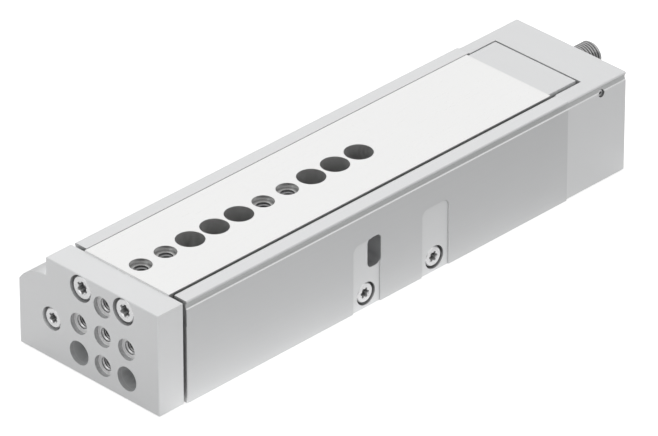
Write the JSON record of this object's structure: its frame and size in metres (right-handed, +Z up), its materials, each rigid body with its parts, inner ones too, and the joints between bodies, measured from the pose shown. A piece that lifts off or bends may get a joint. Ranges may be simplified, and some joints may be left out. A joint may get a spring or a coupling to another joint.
{
  "type": "pneumatic slide table",
  "caption": "Pneumatic slide table: ball-guided steel slide in an aluminium housing, driven by a side cylinder through a drilled yoke plate, with adjustable end stops.",
  "frame": {"origin": "on the flat mounting face, midway between the base screw holes", "axes": "+X the way the slide moves out, +Z up out of the slide's face, the cylinder flank on the -Y side"},
  "size_m": [0.2695, 0.0759, 0.046],
  "materials": {
    "anodised_housing": "satin clear anodised",
    "anodised_cover": "satin clear anodised",
    "anodised_yoke": "satin clear anodised",
    "ground_steel": "fine ground",
    "screw_steel": "zinc plated",
    "stop_steel": "zinc plated",
    "stop_block_alloy": "satin clear anodised",
    "ball_steel": "polished",
    "chromed_rod": "polished",
    "piston_alloy": "turned",
    "bearing_bronze": "sintered",
    "spring_steel": "blackened",
    "seal_rubber": "moulded",
    "buffer_rubber": "moulded",
    "guide_plastic": "turned",
    "magnet": "bonded"
  },
  "bodies": {
    "housing": {"housing": "anodised_housing", "rear_block": "anodised_cover", "rear_block_screws": "screw_steel", "guide_rail_right": "ground_steel", "guide_rail_left": "ground_steel", "rod_bearing_bush": "bearing_bronze", "rod_seal": "seal_rubber", "rod_retaining_ring": "spring_steel", "front_cushion_ring": "seal_rubber", "cylinder_gasket": "seal_rubber", "front_stop_block": "stop_block_alloy", "side_screws": "screw_steel", "stop_clamp_screw": "screw_steel", "rear_stop_grub_screw": "screw_steel", "plug_screw": "screw_steel"},
    "slide": {"slide_table": "ground_steel", "slide_end_plate": "anodised_cover", "end_plate_screws": "screw_steel", "yoke_plate": "anodised_yoke", "yoke_screws": "screw_steel", "rod_screw": "screw_steel", "piston_rod": "chromed_rod", "piston": "piston_alloy", "piston_seals": "seal_rubber", "piston_magnet": "magnet", "piston_guide_ring": "guide_plastic", "piston_nut": "screw_steel"},
    "right_ball_cage": {"ball_cage_right": "ball_steel"},
    "left_ball_cage": {"ball_cage_left": "ball_steel"},
    "front_stop": {"front_stop_sleeve": "stop_steel", "front_stop_buffer": "buffer_rubber"},
    "rear_stop": {"rear_stop_sleeve": "stop_steel", "rear_stop_buffer": "buffer_rubber"}
  },
  "joints": [
    {"name": "slide_stroke", "type": "slide", "parent": "housing", "child": "slide", "axis": [1, 0, 0], "range_m": [0, 0.05]},
    {"name": "right_cage_travel", "type": "slide", "parent": "housing", "child": "right_ball_cage", "axis": [1, 0, 0], "range_m": [0, 0.025]},
    {"name": "left_cage_travel", "type": "slide", "parent": "housing", "child": "left_ball_cage", "axis": [1, 0, 0], "range_m": [0, 0.025]},
    {"name": "front_stop_setting", "type": "slide", "parent": "housing", "child": "front_stop", "axis": [1, 0, 0], "range_m": [0, 0.008]},
    {"name": "rear_stop_setting", "type": "slide", "parent": "housing", "child": "rear_stop", "axis": [1, 0, 0], "range_m": [-0.008, 0]}
  ],
  "couplings": [
    {"joint": "right_cage_travel", "follows": "slide_stroke", "ratio": 0.5},
    {"joint": "left_cage_travel", "follows": "slide_stroke", "ratio": 0.5}
  ]
}
